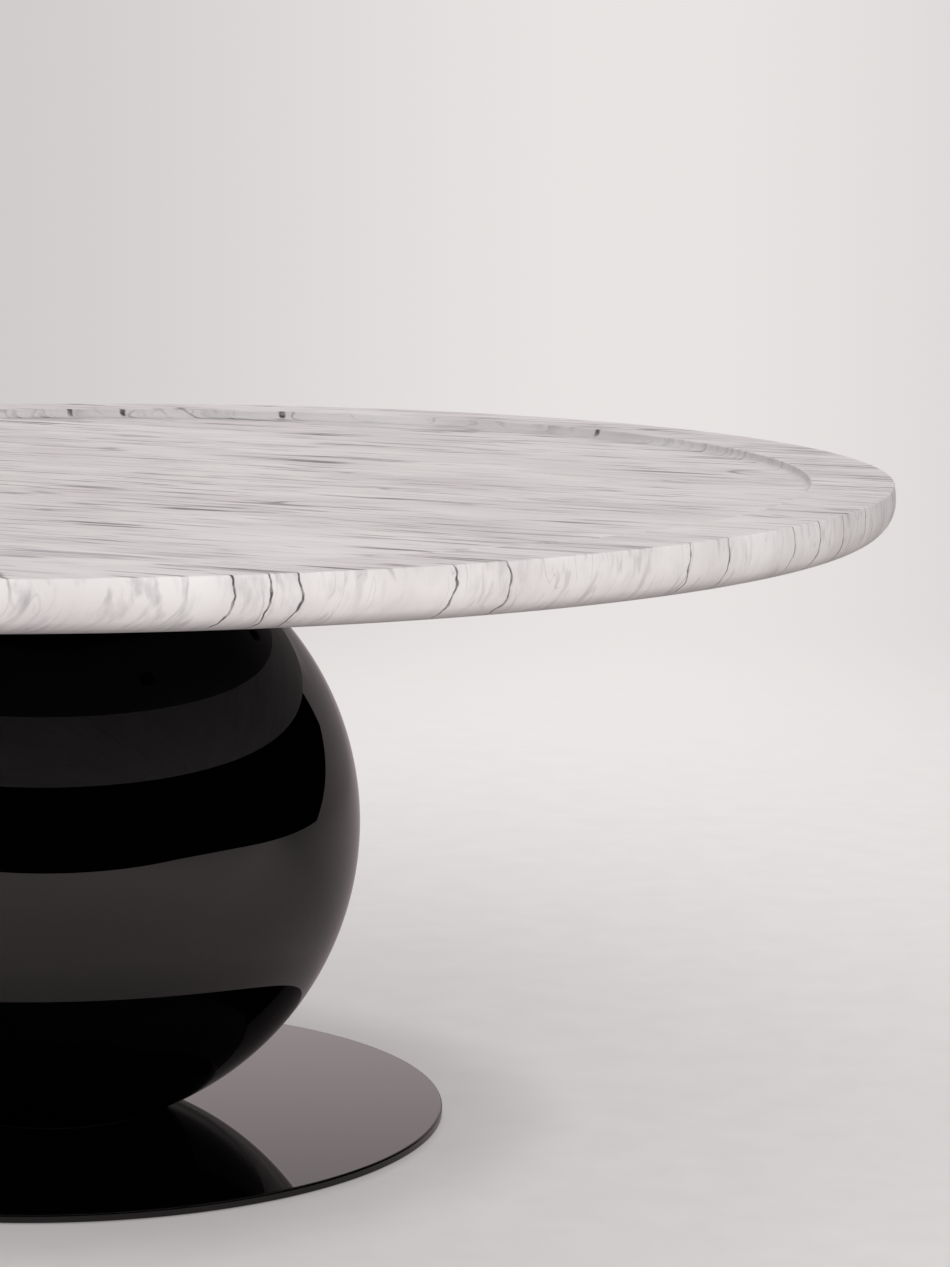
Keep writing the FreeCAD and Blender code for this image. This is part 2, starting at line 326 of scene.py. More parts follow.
def honed_marble(colours, widest, tray):
    """White marble, sawn and honed: a satin, cloudy white with grey sheets on edge in the slab."""
    material, tree = new_material("white_marble_honed")
    place = add(tree, "ShaderNodeTexCoord").outputs["Object"]
    broken = wander(tree, place, BREAK_CELL, BREAK_REACH)
    cracked = wander(tree, broken, CRACK_CELL, CRACK_REACH)
    folded = wander(tree, broken, FOLD_CELL, FOLD_REACH)
    bed = add(tree, "ShaderNodeMapping", {
        "Vector": folded, "Rotation": (BEDDING_DIP, 0, BEDDING_TURN)}, vector_type="TEXTURE")
    grain = {}
    for step, (name, (along, across, up, detail)) in enumerate(BEDDING_CELLS.items()):
        scaled = add(tree, "ShaderNodeMapping", {
            "Vector": bed.outputs[0], "Location": BEDDING_SHIFT * step,
            "Scale": (1 / (along * MM), 1 / (across * MM), 1 / (up * MM))})
        noise = add(tree, "ShaderNodeTexNoise", {
            "Vector": scaled.outputs[0], "Scale": 1.0, "Detail": detail,
            "Roughness": BEDDING_ROUGHNESS})
        grain[name] = noise.outputs["Fac"]
    tones = {
        "smudge": colours.marble_grey,
        "dash": colours.marble_dark,
        "hair": colours.marble_grey,
        "vein": colours.marble_vein,
        "dark": colours.marble_dark,
    }
    normal = add(tree, "ShaderNodeNewGeometry").outputs["True Normal"]
    facing = add(tree, "ShaderNodeSeparateXYZ", {"Vector": normal}).outputs["Z"]
    level = add(tree, "ShaderNodeMapRange", [facing, *LEVEL_FACE]).outputs[0]

    # Each layer has a mask, the patches it keeps to, the share that its face shows and a colour
    layers = []
    for name, mask, patches, side in BEDDING_STREAKS:
        streak = add(tree, "ShaderNodeMapRange", [grain[name], *mask]).outputs[0]
        patch = add(tree, "ShaderNodeMapRange", [grain[name + "_patch"], *patches]).outputs[0]
        shown = add(tree, "ShaderNodeMapRange", [level, 0.0, 1.0, side, 1.0]).outputs[0]
        layers.append((streak, patch, shown, tones[name]))

    # Seen from above, a sheet's smeared upper edge is broader than its line on the slab's side
    shown = add(tree, "ShaderNodeMapRange", [level, 0.0, 1.0, LINE_SIDE_SHARE, 1.0]).outputs[0]
    for name, slim, broad, patches in BEDDING_LINES:
        offset = add(tree, "ShaderNodeMath", [
            grain[name], LINE_VALUE], operation="SUBTRACT").outputs[0]
        distance = add(tree, "ShaderNodeMath", [offset], operation="ABSOLUTE").outputs[0]
        width = add(tree, "ShaderNodeMapRange", [level, 0.0, 1.0, slim, broad]).outputs[0]
        line = add(tree, "ShaderNodeMapRange", [distance, 0.0, width, 1.0, 0.0], **SMOOTH)
        patch = add(tree, "ShaderNodeMapRange", [grain[name + "_patch"], *patches]).outputs[0]
        layers.append((line.outputs[0], patch, shown, tones[name]))

    # Each single vein is a slim upright lens along the bedding, and the nearest one counts
    nearest = VEIN_OUTLINE
    for strayed, points, (half_length, half_width) in (
        (cracked, on_circle(widest, EDGE_VEINS, -1), EDGE_VEIN_HALVES),
        (broken, on_circle(tray, WALL_FLECKS, 1), WALL_FLECK_HALVES),
    ):
        for x, y in points:
            lens = add(tree, "ShaderNodeMapping", {
                "Vector": strayed, "Location": (x, y, 0), "Rotation": (0, 0, BEDDING_TURN),
                "Scale": (half_length, half_width, VEIN_HEIGHT)}, vector_type="TEXTURE")
            reach = add(tree, "ShaderNodeVectorMath", [lens.outputs[0]], operation="LENGTH")
            nearest = add(tree, "ShaderNodeMath", [
                nearest, reach.outputs["Value"]], operation="MINIMUM").outputs[0]
    beads = add(tree, "ShaderNodeMapRange", [grain["bead"], *BEAD_STRENGTH]).outputs[0]
    single = add(tree, "ShaderNodeMapRange", [
        nearest, VEIN_CORE, VEIN_OUTLINE, beads, 0.0], **SMOOTH)
    layers.append((single.outputs[0], 1.0, 1.0, colours.marble_dark))

    cloud = add(tree, "ShaderNodeMapRange", [grain["cloud"], *CLOUD_SHARE])
    tone = add(tree, "ShaderNodeMix", {
        FACTOR: cloud.outputs[0],
        FIRST: rgba(colours.marble_white), SECOND: rgba(colours.marble_cloud)}, data_type="RGBA")
    for mask, patch, shown, colour in layers:
        patchy = add(tree, "ShaderNodeMath", [mask, patch], operation="MULTIPLY").outputs[0]
        layer = add(tree, "ShaderNodeMath", [patchy, shown], operation="MULTIPLY").outputs[0]
        tone = add(tree, "ShaderNodeMix", {
            FACTOR: layer, FIRST: tone.outputs[MIXED], SECOND: rgba(colour)}, data_type="RGBA")
    # Painted shade: the downward faces of the underside are drawn darker
    painted_underside_shade = add(tree, "ShaderNodeMapRange", [facing, *UNDERSIDE_PAINTED_SHADE])
    tone = add(tree, "ShaderNodeVectorMath", {
        0: tone.outputs[MIXED], "Scale": painted_underside_shade.outputs[0]}, operation="SCALE")

    tooth = add(tree, "ShaderNodeTexNoise", {
        "Vector": place, "Scale": 1 / TOOTH_CELL, "Detail": 2.0})
    bump = add(tree, "ShaderNodeBump", {
        "Height": tooth.outputs["Fac"], "Strength": TOOTH_STRENGTH, "Distance": TOOTH_DEPTH})
    satin = add(tree, "ShaderNodeMapRange", [grain["smudge"], *SATIN_ROUGHNESS])
    shader = add(tree, "ShaderNodeBsdfPrincipled", {
        "Base Color": tone.outputs[0], "Roughness": satin.outputs[0], "IOR": REFRACTION,
        "Normal": bump.outputs["Normal"]})
    add(tree, "ShaderNodeOutputMaterial", {"Surface": shader.outputs["BSDF"]})
    return material


# Gloss coats: haze where they were rubbed, and the orange peel of a sprayed coat, which is some
# millimetres from crest to crest and under a micron deep
HAZE_CELL = 45 * MM
HAZE_START = 0.35
HAZE_FULL = 0.7
PEEL_CELL = 7 * MM
PEEL_STRENGTH = 1.0
PEEL_DEPTH = 0.0008 * MM
# Noise values between which tool marks and worn patches change a surface's roughness
WORN_START = 0.3
WORN_FULL = 0.7
# Depth of tool marks on metal, size of the patches on rubber and plastic, and strength of each bump
MARK_DEPTH = 0.02 * MM
MARK_STRENGTH = 0.5
PATCH_CELL = 30 * MM
GRAIN_STRENGTH = 0.6


def finish(tree, marks, tones, worn, relief, strength, depth, kind):
    """Ends a material: two tones and a roughness by one noise, and a relief by another."""
    tone = add(tree, "ShaderNodeMix", {
        FACTOR: marks, FIRST: rgba(linear(tones[0])), SECOND: rgba(linear(tones[1]))},
        data_type="RGBA")
    rough = add(tree, "ShaderNodeMapRange", [marks, *worn])
    bump = add(tree, "ShaderNodeBump", {"Height": relief, "Strength": strength, "Distance": depth})
    shader = add(tree, "ShaderNodeBsdfPrincipled", {
        "Base Color": tone.outputs[MIXED], "Roughness": rough.outputs[0],
        "Normal": bump.outputs["Normal"], **kind})
    add(tree, "ShaderNodeOutputMaterial", {"Surface": shader.outputs["BSDF"]})


def gloss_black(name, tones, roughness):
    """Black gloss coat: nearly no colour of its own, a deep mirror with a trace of rubbed haze."""
    material, tree = new_material(name)
    place = add(tree, "ShaderNodeTexCoord").outputs["Object"]
    haze = add(tree, "ShaderNodeTexNoise", {"Vector": place, "Scale": 1 / HAZE_CELL, "Detail": 3.0})
    peel = add(tree, "ShaderNodeTexNoise", {"Vector": place, "Scale": 1 / PEEL_CELL, "Detail": 1.0})
    finish(
        tree, haze.outputs["Fac"], tones, (HAZE_START, HAZE_FULL, *roughness),
        peel.outputs["Fac"], PEEL_STRENGTH, PEEL_DEPTH, {"IOR": REFRACTION})
    return material


def worked_metal(name, tones, roughness, cells_mm):
    """Bare or plated metal with tool marks: streaks that have the given cells along X, Y and Z."""
    material, tree = new_material(name)
    place = add(tree, "ShaderNodeTexCoord").outputs["Object"]
    scaled = add(tree, "ShaderNodeMapping", {
        "Vector": place, "Scale": [1 / (cell * MM) for cell in cells_mm]})
    marks = add(tree, "ShaderNodeTexNoise", {
        "Vector": scaled.outputs[0], "Scale": 1.0, "Detail": 4.0})
    finish(
        tree, marks.outputs["Fac"], tones, (WORN_START, WORN_FULL, *roughness),
        marks.outputs["Fac"], MARK_STRENGTH, MARK_DEPTH, {"Metallic": 1.0})
    return material


def matt_polymer(name, tones, roughness, grain_mm, depth_mm):
    """Rubber or plastic: matt, with a fine grain and slightly uneven tone."""
    material, tree = new_material(name)
    place = add(tree, "ShaderNodeTexCoord").outputs["Object"]
    patches = add(tree, "ShaderNodeTexNoise", {
        "Vector": place, "Scale": 1 / PATCH_CELL, "Detail": 4.0})
    grain = add(tree, "ShaderNodeTexNoise", {
        "Vector": place, "Scale": 1 / (grain_mm * MM), "Detail": 2.0})
    finish(
        tree, patches.outputs["Fac"], tones, (WORN_START, WORN_FULL, *roughness),
        grain.outputs["Fac"], GRAIN_STRENGTH, depth_mm * MM, {"IOR": REFRACTION})
    return material


def bend(centre, reach, start, end, steps, hollow=False):
    """Profile points with normals, on an arc of a circle or ellipse between angles in degrees."""
    points = []
    side = -1 if hollow else 1
    for step in range(steps + 1):
        angle = math.radians(start + (end - start) * step / steps)
        out, rise = math.cos(angle), math.sin(angle)
        normal = Vector((out / reach[0], rise / reach[1])).normalized() * side
        radius, height = centre[0] + reach[0] * out, centre[1] + reach[1] * rise
        points.append((radius, height, normal.x, normal.y))
    return points


def ring_of(bm, centre, radius, height, corners):
    """Level ring of vertices round a vertical line, or one vertex where the radius is nothing."""
    ring = []
    for step in range(corners if radius > 0 else 1):
        angle = math.tau * step / corners
        aim = Vector((math.cos(angle), math.sin(angle), 0))
        ring.append(bm.verts.new(centre + aim * radius + UP * height))
    return ring


def skin(bm, first, second):
    """Faces between two rings, of which one may be a single vertex."""
    count = max(len(first), len(second))
    faces = []
    for step in range(count):
        following = (step + 1) % count
        corners = [first[step % len(first)]]
        if len(first) > 1:
            corners.append(first[following])
        corners.append(second[following % len(second)])
        if len(second) > 1:
            corners.append(second[step])
        faces.append(bm.faces.new(corners))
    return faces


def fill_level(bm, loops):
    """Triangles over a level face between closed loops of vertices."""
    edges = []
    for loop in loops:
        if len(loop) == 1:
            bm.verts.remove(loop[0])
            continue
        for start, end in zip(loop, loop[1:] + loop[:1]):
            edges.append(bm.edges.get((start, end)) or bm.edges.new((start, end)))
    bmesh.ops.triangle_fill(bm, edges=edges, use_beauty=True, normal=UP)


def around(count, radius):
    """Places evenly spaced on a circle about the table's axis."""
    places = []
    for step in range(count):
        angle = math.tau * step / count
        places.append(Vector((math.cos(angle), math.sin(angle), 0)) * radius)
    return places


def hole(places, stations, corners, mouth, far_mouth=None):
    """A hole at each place, through stations of radius and height, from one face to another."""
    return {"places": places, "stations": stations, "corners": corners, "ends": (mouth, far_mouth)}


def turned_piece(name, profile, segments, closed=False, places=(AXIS,), holes=()):
    """Object turned about the vertical at each place, from profile points with exact normals."""
    bm = bmesh.new()
    exact = {}
    turned_faces = set()
    for place in places:
        rings = []
        for radius, height, out, rise in profile:
            ring = ring_of(bm, place, radius, height, segments)
            for vert in ring:
                aim = vert.co - place
                aim.z = 0
                exact[vert] = aim.normalized() * out + UP * rise
            rings.append(ring)
        openings = defaultdict(list)
        for kind in holes:
            for centre in kind["places"]:
                loops = []
                for radius, height in kind["stations"]:
                    loops.append(ring_of(bm, place + centre, radius, height, kind["corners"]))
                for first, second in zip(loops, loops[1:]):
                    skin(bm, first, second)
                mouth, far_mouth = kind["ends"]
                openings[mouth].append(loops[0])
                if far_mouth is None:
                    bm.faces.new(loops[-1])
                else:
                    openings[far_mouth].append(loops[-1])
        for span, first in enumerate(rings if closed else rings[:-1]):
            second = rings[(span + 1) % len(rings)]
            if span in openings:
                fill_level(bm, [first, second] + openings[span])
            else:
                turned_faces.update(skin(bm, first, second))
    bmesh.ops.recalc_face_normals(bm, faces=bm.faces)
    normals = []
    for face in bm.faces:
        face.smooth = True
        for corner in face.loops:
            normals.append(exact[corner.vert] if face in turned_faces else face.normal.copy())
    mesh = bpy.data.meshes.new(name)
    bm.to_mesh(mesh)
    bm.free()
    mesh.normals_split_custom_set(normals)
    piece = bpy.data.objects.new(name, mesh)
    bpy.context.scene.collection.objects.link(piece)
    return piece


def dress(piece, material, node):
    """Gives a piece its material and lets it stand for its CAD node."""
    piece.data.materials.append(material)
    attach(piece, "root")
    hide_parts(node)


def finish_nodes(material, *names):
    """Gives CAD nodes that stay in the picture their material."""
    for name in names:
        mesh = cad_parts[name].data
        mesh.materials.clear()
        mesh.materials.append(material)


class TABLE_OT_marble_top(bpy.types.Operator):
    """Turn the marble slab with its tray, rim, rounded edge and insert holes"""

    bl_idname = "table.marble_top"
    bl_label = "Marble top"

    def execute(self, context):
        size = context.scene.table_sizes
        low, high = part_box("marble_top")
        widest, bottom, top = high.x, low.z, high.z
        widest_height = top - size.edge_widest_depth
        tray = widest - size.edge_bulge - size.rim_width
        tray_floor = top - size.tray_depth
        belly = (size.edge_bulge ** 2 + size.edge_widest_depth ** 2) / (2 * size.edge_bulge)
        ease_rise = size.edge_widest_depth - size.edge_ease
        ease_run = math.sqrt((belly - size.edge_ease) ** 2 - ease_rise ** 2)
        ease_end = math.degrees(math.atan2(ease_rise, ease_run))
        ease_centre = (widest - belly + ease_run, top - size.edge_ease)
        under_reach = (size.edge_under_reach, widest_height - bottom)
        foot, lip = size.tray_foot, size.tray_lip
        profile = [(0, tray_floor, 0, 1)]
        foot_centre = (tray - foot, tray_floor + foot)
        profile += bend(foot_centre, (foot, foot), -90, 0, FOOT_STEPS, hollow=True)
        profile += bend((tray + lip, top - lip), (lip, lip), 180, 90, LIP_STEPS)
        profile += bend(ease_centre, (size.edge_ease, size.edge_ease), 90, ease_end, EASE_STEPS)
        belly_centre = (widest - belly, widest_height)
        profile += bend(belly_centre, (belly, belly), ease_end, 0, BELLY_STEPS)[1:]
        under_centre = (widest - size.edge_under_reach, widest_height)
        profile += bend(under_centre, under_reach, 0, -90, UNDER_STEPS)[1:]
        profile.append((0, bottom, 0, -1))
        sockets = hole(
            around(size.fixing_count, size.fixing_circle),
            [(size.insert_hole, bottom), (size.insert_hole, bottom + size.insert_hole_depth)],
            size.small_segments, len(profile) - 2)
        piece = turned_piece("marble_slab", profile, size.segments, holes=[sockets])
        material = honed_marble(context.scene.table_colours, widest, tray)
        dress(piece, material, "marble_top")
        return {"FINISHED"}


class TABLE_OT_ball(bpy.types.Operator):
    """Turn the two shells of the ball, whose joint is hidden under the lacquer"""

    bl_idname = "table.ball"
    bl_label = "Ball"

    def execute(self, context):
        size = context.scene.table_sizes
        # Polished lacquer: black, and as sharp a mirror as glass
        material = gloss_black(
            "black_lacquer_polished", tones=("#010101", "#020202"), roughness=(0.0, 0.012))
        for node, side in (("lower_shell", -1), ("upper_shell", 1)):
            low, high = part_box(node)
            outer = high.x
            inner = outer - size.ball_wall
            centre = (0, low.z if side > 0 else high.z)
            height = high.z - low.z
            outer_tilt = math.degrees(math.asin(height / outer)) * side
            inner_tilt = math.degrees(math.asin(height / inner)) * side
            profile = bend(centre, (outer, outer), 0, outer_tilt, BALL_STEPS)
            profile += bend(centre, (inner, inner), inner_tilt, 0, BALL_INSIDE_STEPS, hollow=True)
            piece = turned_piece(node + "_turned", profile, size.segments, closed=True)
            dress(piece, material, node)
        return {"FINISHED"}


class TABLE_OT_plates(bpy.types.Operator):
    """Turn the steel plates above and below the ball, with their screw holes"""

    bl_idname = "table.plates"
    bl_label = "Plates"

    def execute(self, context):
        size = context.scene.table_sizes
        # Baked enamel: black too, with a slightly softer mirror than the ball's
        material = gloss_black(
            "black_enamel_baked", tones=("#020202", "#040404"), roughness=(0.01, 0.03))
        for node, side, large in (
            ("base_plate", 1, size.base_plate_round),
            ("top_plate", -1, size.top_plate_round),
        ):
            low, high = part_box(node)
            radius, small = high.x, size.broken_edge
            face, back = (high.z, low.z) if side > 0 else (low.z, high.z)
            profile = [(0, face, 0, side)]
            face_centre = (radius - large, face - side * large)
            profile += bend(face_centre, (large, side * large), 90, 0, PLATE_STEPS)
            back_centre = (radius - small, back + side * small)
            profile += bend(back_centre, (small, side * small), 0, -90, BROKEN_STEPS)
            profile.append((0, back, 0, -side))
            back_span = len(profile) - 2
            cone = side * (size.sunk_mouth - size.sunk_bore)
            holes = [hole(
                around(size.fixing_count, size.sunk_circle),
                [(size.sunk_mouth, back), (size.sunk_bore, back + cone), (size.sunk_bore, face)],
                size.small_segments, back_span, 0)]
            if node == "top_plate":
                holes.append(hole(
                    around(size.fixing_count, size.fixing_circle),
                    [(size.plate_hole, back), (size.plate_hole, face)],
                    size.small_segments, back_span, 0))
            piece = turned_piece(node + "_turned", profile, size.segments, holes=holes)
            dress(piece, material, node)
        return {"FINISHED"}


class TABLE_OT_rubber_sheets(bpy.types.Operator):
    """Cut the sheet under the marble and the pad under the floor plate, and finish the seals"""

    bl_idname = "table.rubber_sheets"
    bl_label = "Rubber sheets"

    def execute(self, context):
        size = context.scene.table_sizes
        # Moulded sheet: a dull black with a fine bloom
        moulded = matt_polymer(
            "rubber_sheet_moulded", tones=("#151516", "#1F1F20"), roughness=(0.6, 0.78),
            grain_mm=1.2, depth_mm=0.05)
        # Ground pad: the wheel leaves it greyer and rougher than the moulded sheet
        ground = matt_polymer(
            "rubber_pad_ground", tones=("#1C1C1D", "#2B2A2A"), roughness=(0.78, 0.92),
            grain_mm=1.8, depth_mm=0.12)
        for node, material, slot in (
            ("cushion_sheet", moulded, "rubber"),
            ("floor_pad", ground, "pad_rubber"),
        ):
            low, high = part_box(node)
            radius, small = high.x, size.broken_edge
            broken, side = (small, small), radius - small
            profile = [(0, high.z, 0, 1)]
            profile += bend((side, high.z - small), broken, 90, 0, BROKEN_STEPS)
            profile += bend((side, low.z + small), broken, 0, -90, BROKEN_STEPS)
            profile.append((0, low.z, 0, -1))
            holes = []
            if node == "cushion_sheet":
                holes.append(hole(
                    around(size.fixing_count, size.fixing_circle),
                    [(size.plate_hole, high.z), (size.plate_hole, low.z)],
                    size.small_segments, 0, len(profile) - 2))
            piece = turned_piece(node + "_turned", profile, size.segments, holes=holes)
            dress(piece, material, node)
        finish_nodes(moulded, "upper_seal", "lower_seal")
        return {"FINISHED"}


class TABLE_OT_fixings(bpy.types.Operator):
    """Turn the button head screws and washers that hold the marble, seen from below"""

    bl_idname = "table.fixings"
    bl_label = "Screws and washers"

    def execute(self, context):
        size = context.scene.table_sizes
        places = around(size.fixing_count, size.fixing_circle)
        small = size.broken_edge
        broken = (small, small)
        # Black zinc plate: dark, a little blue, and duller than the enamel round it
        material = worked_metal(
            "black_zinc_plated_steel", tones=("#17171A", "#2A2A2E"), roughness=(0.32, 0.5),
            cells_mm=(2, 2, 2))

        low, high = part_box("top_screws")
        foot, tip = low.z, high.z
        bearing = foot + size.screw_head_height
        head, crown, shank = size.screw_head, size.screw_crown, size.screw_shank
        profile = [(0, foot, 0, -1)]
        dome = (head - crown, size.screw_head_height - small)
        profile += bend((crown, bearing - small), dome, -90, 0, HEAD_STEPS)
        profile += bend((head - small, bearing - small), broken, 0, 90, BROKEN_STEPS)[1:]
        root = (shank + small, bearing + small)
        profile += bend(root, broken, -90, -180, BROKEN_STEPS, hollow=True)
        profile += bend((shank - small, tip - small), broken, 0, 90, BROKEN_STEPS)
        profile.append((0, tip, 0, 1))
        corner = size.socket_flats / 2 / math.cos(math.pi / SOCKET_CORNERS)
        stations = [(corner, foot), (corner, foot + size.socket_depth)]
        screws = turned_piece(
            "top_screws_turned", profile, size.small_segments, places=places,
            holes=[hole([AXIS], stations, SOCKET_CORNERS, 0)])
        dress(screws, material, "top_screws")

        low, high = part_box("top_washers")
        bore, rim = size.washer_bore, size.washer_radius
        profile = bend((rim - small, low.z + small), broken, -90, 0, BROKEN_STEPS)
        profile += bend((rim - small, high.z - small), broken, 0, 90, BROKEN_STEPS)
        profile += bend((bore + small, high.z - small), broken, 90, 180, BROKEN_STEPS)
        profile += bend((bore + small, low.z + small), broken, 180, 270, BROKEN_STEPS)
        washers = turned_piece(
            "top_washers_turned", profile, size.small_segments, closed=True, places=places)
        dress(washers, material, "top_washers")
        return {"FINISHED"}


class TABLE_OT_inner_parts(bpy.types.Operator):
    """Finish the column, rings, inserts and sunk screws, which the ball and plates hide"""

    bl_idname = "table.inner_parts"
    bl_label = "Inner parts"

    def execute(self, context):
        # Mill finish: grey steel with the roll's streaks along its length
        steel = worked_metal(
            "mild_steel_mill_finish", tones=("#8E8F91", "#B4B5B6"), roughness=(0.34, 0.5),
            cells_mm=(3, 3, 40))
        finish_nodes(steel, "column_tube", "joint_ring", "upper_flange", "lower_flange")
        # Zinc plate: bright and slightly cool
        zinc = worked_metal(
            "bright_zinc_plated_steel", tones=("#9DA0A4", "#C2C4C7"), roughness=(0.25, 0.4),
            cells_mm=(1.5, 1.5, 1.5))
        finish_nodes(zinc, "plate_screws", "base_screws")
        # Turned brass: fine level rings from the tool
        brass = worked_metal(
            "brass_turned", tones=("#A98648", "#CDA861"), roughness=(0.22, 0.36),
            cells_mm=(20, 20, 0.6))
        finish_nodes(brass, "threaded_inserts")
        # Turned nylon: milky, with a faint tool grain
        nylon = matt_polymer(
            "nylon_turned", tones=("#CBC8BF", "#DEDBD2"), roughness=(0.42, 0.55),
            grain_mm=0.8, depth_mm=0.02)
        finish_nodes(nylon, "upper_centring_ring", "lower_centring_ring")
        return {"FINISHED"}


# Lit paper under and behind the table, in metres: half width, front edge and radius of its corners
PAPER_SIDE = 2.25
PAPER_FRONT = -1.6
PAPER_CORNER = 0.9
# Reach of the floor, facets across each of its strips, and a hair of room under the pad, so that
# pad and floor share no face
FLOOR_REACH = 30.0
FLOOR_COLUMNS = 180
FLOOR_GAP = 0.1 * MM
FIBRE_CELL = 40 * MM

# Light on the backdrop, by how far a line from a point before the table slopes to the right: the
# brightest slope, how far aside it fades, its least level and that point's distance in metres
GLOW_SLOPE = 0.16
GLOW_FADE = 0.2
GLOW_LEAST = 0.77
GLOW_START = 2.4
# Least share of a line's length that counts as ahead, for lines that turn from the backdrop
LEAST_AHEAD = 0.3

# Painted shade ramps along Y: the paper's level near the table, and its change for mirrors and
# bounced light
NEAR_LEVEL = (-0.9, 0.7, 0.86, 0.97)
UNSEEN_PAINTED_SHADOW = (-0.4, 0.2, 0.08, -0.48)
# Distances from the axis between which the near level gives way to the backdrop's
NEAR_END = 0.3
FAR_START = 2.6
# Ramps by distance from the axis: the painted shadow of plate and ball, and the share of even light
CLOSE_PAINTED_SHADOW = (0.26, 0.35, 0.76, 1.09)
EVEN_SHARE = (0.5, 2.4, 0.3, 1.0)
# Ramp of the paper's tone by the noise of its fibres, and the share of its light that bounces
FIBRE_TONE = (0.3, 0.7, 0.92, 0.97)
BOUNCE_SHARE = 0.8

# The wall that mirrors see: its level, and ramps by direction for the lean of its side edges and
# for the foot, head and sides of the pool of light on it
WALL_LEVEL = 0.4
WALL_LEAN = (-0.09, 0.12, 0.44, 0.95)
POOL_FOOT = (0.12, 0.22, 0.0, 1.0)
POOL_HEAD = (0.22, 0.30, 1.15, 0.3)
POOL_SIDES = (0.15, 0.6, 1.0, 0.0)
# Ramp of the fill light from left to right
FILL_ACROSS = (-1.0, 1.0, 0.60, 0.46)

# Soft key from the front right and a soft light from behind: place, target, width and height in
# metres, and watts
SOFTBOXES = (
    ("key_softbox", (0.8, -2.85, 1.75), (0, -0.4, 0.35), 1.8, 1.2, 46.0),
    ("back_softbox", (0.6, 3.2, 1.7), (0, 0, 0.2), 1.6, 1.0, 50.0),
)

# The camera's place in metres, its turn down and to the right, its lens in mm and its shift
CAMERA_PLACE = (0, -2.3589, 0.6518)
CAMERA_DOWN = math.radians(8.2048)
CAMERA_RIGHT = math.radians(4.1974)
CAMERA_LENS = 105.874
CAMERA_SHIFT = 0.12


def paper_front(x):
    """Front edge of the lit paper, in metres, with its rounded corners."""
    past = max(0.0, abs(x) - (PAPER_SIDE - PAPER_CORNER))
    return PAPER_FRONT + PAPER_CORNER - math.sqrt(PAPER_CORNER ** 2 - past ** 2)


def straight(y):
    """Straight end of a strip of floor."""
    return lambda x: y


def floor_strip(name, material, near, far, left, right):
    """Level strip of floor between two curves across its width."""
    bm = bmesh.new()
    ends = []
    for step in range(FLOOR_COLUMNS + 1):
        x = left + (right - left) * step / FLOOR_COLUMNS
        ends.append([bm.verts.new((x, curve(x), -FLOOR_GAP)) for curve in (near, far)])
    for (low, high), (next_low, next_high) in zip(ends, ends[1:]):
        bm.faces.new((low, next_low, next_high, high))
    mesh = bpy.data.meshes.new(name)
    bm.to_mesh(mesh)
    bm.free()
    mesh.materials.append(material)
    strip = bpy.data.objects.new(name, mesh)
    bpy.context.scene.collection.objects.link(strip)
    return strip


def backdrop_glow(tree, x, y, reach, start):
    """Light on the backdrop, which fades to both sides of a patch a little right of the table."""
    least = add(tree, "ShaderNodeMath", [reach, LEAST_AHEAD], operation="MULTIPLY").outputs[0]
    depth = add(tree, "ShaderNodeMath", [y, start], operation="ADD").outputs[0]
    ahead = add(tree, "ShaderNodeMath", [depth, least], operation="MAXIMUM").outputs[0]
    slope = add(tree, "ShaderNodeMath", [x, ahead], operation="DIVIDE").outputs[0]
    off = add(tree, "ShaderNodeMath", [slope, GLOW_SLOPE], operation="SUBTRACT").outputs[0]
    aside = add(tree, "ShaderNodeMath", [off], operation="ABSOLUTE").outputs[0]
    # None of it lies before the table
    short = add(tree, "ShaderNodeMath", [least, y], operation="SUBTRACT").outputs[0]
    turned = add(tree, "ShaderNodeMath", [short, 0.0], operation="MAXIMUM").outputs[0]
    back = add(tree, "ShaderNodeMath", [turned, reach], operation="DIVIDE").outputs[0]
    away = add(tree, "ShaderNodeMath", [aside, back], operation="ADD").outputs[0]
    return add(tree, "ShaderNodeMapRange", [
        away, 0.0, GLOW_FADE, 1.0, GLOW_LEAST], **SMOOTH).outputs[0]


